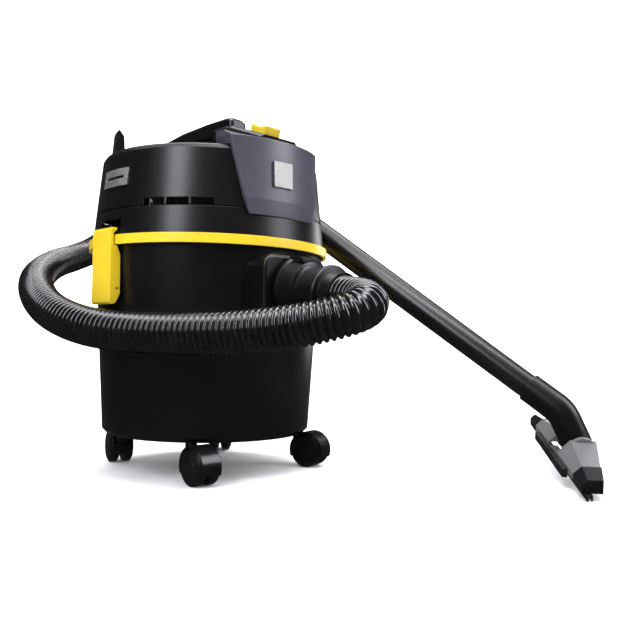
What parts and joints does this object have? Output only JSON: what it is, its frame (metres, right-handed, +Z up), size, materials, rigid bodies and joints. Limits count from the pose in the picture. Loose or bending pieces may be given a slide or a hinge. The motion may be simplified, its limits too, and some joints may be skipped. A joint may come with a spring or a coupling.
{
  "type": "shop vacuum",
  "caption": "Wet and dry shop vacuum: round tank on swivel casters, latched motor head with carry handle, corrugated hose, straight wand and floor nozzle.",
  "frame": {"origin": "on the floor, at the middle of the footprint of the whole outfit without its hose", "axes": "+Z up; the machine's front, with panel and hose inlet, faces -Y; +X to the machine's right seen from the front"},
  "size_m": [0.5629, 0.7984, 0.4282],
  "materials": {
    "body_plastic": "satin black moulded polypropylene",
    "nozzle_plastic": "grey moulded plastic",
    "panel_plastic": "semi-gloss anthracite moulding",
    "yellow_plastic": "yellow moulded plastic",
    "hose_plastic": "black corrugated flexible plastic",
    "wand_plastic": "smooth black tube",
    "caster_plastic": "black nylon",
    "trim_metal": "brushed silver trim plate",
    "steel": "zinc plated steel",
    "alloy": "pressed aluminium",
    "motor_plastic": "moulded motor frame",
    "seal_rubber": "black rubber",
    "foam": "open cell foam",
    "filter_cloth": "filter cloth",
    "float_plastic": "hollow white plastic float",
    "bristle": "nylon bristles"
  },
  "bodies": {
    "machine": {"tank": "body_plastic", "rim_band": "yellow_plastic", "caster_sockets": "caster_plastic", "inlet_housing": "body_plastic", "inlet_seal": "seal_rubber", "inlet_deflector": "body_plastic", "latch_brackets": "body_plastic", "latch_pins": "steel", "hose_cuff": "body_plastic", "hose": "hose_plastic", "hose_end_cuff": "body_plastic", "hand_grip": "body_plastic", "wand": "wand_plastic", "nozzle_neck": "body_plastic"},
    "head": {"head_base": "body_plastic", "head_gasket": "seal_rubber", "head_cover": "body_plastic", "front_panel": "panel_plastic", "badge": "trim_metal", "side_plates": "trim_metal", "switch_console": "body_plastic", "switch_body": "caster_plastic", "carry_handle": "body_plastic", "cord_hooks": "body_plastic", "cord_gland": "caster_plastic", "blow_port": "body_plastic", "cover_screws": "steel", "motor_gasket": "seal_rubber", "fan_housing": "steel", "motor_housing": "motor_plastic", "motor_stator": "steel", "motor_bearings": "steel", "exhaust_foam": "foam", "filter_cage": "body_plastic", "filter_sleeve": "filter_cloth"},
    "rotor": {"rotor_shaft": "steel", "armature": "steel", "impeller": "alloy"},
    "float": {"float_ball": "float_plastic"},
    "power_button": {"power_button": "yellow_plastic"},
    "latch_left": {"latch_left": "yellow_plastic"},
    "latch_right": {"latch_right": "yellow_plastic"},
    "cuff_catch": {"cuff_catch": "body_plastic"},
    "air_slider": {"air_slider": "body_plastic"},
    "nozzle": {"nozzle_shell": "nozzle_plastic", "nozzle_end_caps": "caster_plastic", "nozzle_bristles": "bristle", "nozzle_squeegee": "seal_rubber"},
    "caster_front_left_swivel": {"caster_front_left_hood": "caster_plastic", "caster_front_left_stem_axle": "steel"},
    "caster_front_left_wheels": {"caster_front_left_wheels": "caster_plastic"},
    "caster_front_right_swivel": {"caster_front_right_hood": "caster_plastic", "caster_front_right_stem_axle": "steel"},
    "caster_front_right_wheels": {"caster_front_right_wheels": "caster_plastic"},
    "caster_rear_right_swivel": {"caster_rear_right_hood": "caster_plastic", "caster_rear_right_stem_axle": "steel"},
    "caster_rear_right_wheels": {"caster_rear_right_wheels": "caster_plastic"},
    "caster_rear_left_swivel": {"caster_rear_left_hood": "caster_plastic", "caster_rear_left_stem_axle": "steel"},
    "caster_rear_left_wheels": {"caster_rear_left_wheels": "caster_plastic"}
  },
  "joints": [
    {"name": "head_lift", "type": "slide", "parent": "machine", "child": "head", "axis": [0, 0, 1], "range_m": [0, 0.12]},
    {"name": "rotor_spin", "type": "hinge", "parent": "head", "child": "rotor", "pos_m": [-0.1175, 0.1157, 0.3], "axis": [0, 0, 1], "continuous": true},
    {"name": "float_rise", "type": "slide", "parent": "head", "child": "float", "axis": [0, 0, 1], "range_m": [0, 0.041]},
    {"name": "power_rock", "type": "hinge", "parent": "head", "child": "power_button", "pos_m": [-0.1175, 0.0207, 0.3775], "axis": [1, 0, 0], "range_deg": [0, 8]},
    {"name": "latch_left_swing", "type": "hinge", "parent": "machine", "child": "latch_left", "pos_m": [-0.2506, 0.1157, 0.2004], "axis": [0, -1, 0], "range_deg": [0, 25]},
    {"name": "latch_right_swing", "type": "hinge", "parent": "machine", "child": "latch_right", "pos_m": [0.0156, 0.1157, 0.2004], "axis": [0, 1, 0], "range_deg": [0, 25]},
    {"name": "cuff_catch_press", "type": "slide", "parent": "machine", "child": "cuff_catch", "axis": [0, 0, -1], "range_m": [0, 0.003], "stiffness_N_per_m": 600},
    {"name": "air_slide", "type": "slide", "parent": "machine", "child": "air_slider", "axis": [0.2531, -0.7791, -0.5736], "range_m": [0, 0.012]},
    {"name": "nozzle_tilt", "type": "hinge", "parent": "machine", "child": "nozzle", "pos_m": [0.15846, -0.21235, 0.03582], "axis": [0.7725, 0.6211, 0.1323], "range_deg": [-15, 13]},
    {"name": "caster_front_left_swivel", "type": "hinge", "parent": "machine", "child": "caster_front_left_swivel", "pos_m": [-0.19387, 0.03933, 0.06], "axis": [0, 0, 1], "continuous": true},
    {"name": "caster_front_left_roll", "type": "hinge", "parent": "caster_front_left_swivel", "child": "caster_front_left_wheels", "pos_m": [-0.19446, 0.02234, 0.0195], "axis": [0.9994, -0.0349, 0], "continuous": true},
    {"name": "caster_front_right_swivel", "type": "hinge", "parent": "machine", "child": "caster_front_right_swivel", "pos_m": [-0.03045, 0.0501, 0.06], "axis": [0, 0, 1], "continuous": true},
    {"name": "caster_front_right_roll", "type": "hinge", "parent": "caster_front_right_swivel", "child": "caster_front_right_wheels", "pos_m": [-0.02576, 0.03376, 0.0195], "axis": [0.9613, 0.2756, 0], "continuous": true},
    {"name": "caster_rear_right_swivel", "type": "hinge", "parent": "machine", "child": "caster_rear_right_swivel", "pos_m": [-0.04113, 0.19207, 0.06], "axis": [0, 0, 1], "continuous": true},
    {"name": "caster_rear_right_roll", "type": "hinge", "parent": "caster_rear_right_swivel", "child": "caster_rear_right_wheels", "pos_m": [-0.0287, 0.20366, 0.0195], "axis": [-0.682, 0.7314, 0], "continuous": true},
    {"name": "caster_rear_left_swivel", "type": "hinge", "parent": "machine", "child": "caster_rear_left_swivel", "pos_m": [-0.18697, 0.18763, 0.06], "axis": [0, 0, 1], "continuous": true},
    {"name": "caster_rear_left_roll", "type": "hinge", "parent": "caster_rear_left_swivel", "child": "caster_rear_left_wheels", "pos_m": [-0.18171, 0.2038, 0.0195], "axis": [-0.9511, 0.309, 0], "continuous": true}
  ]
}
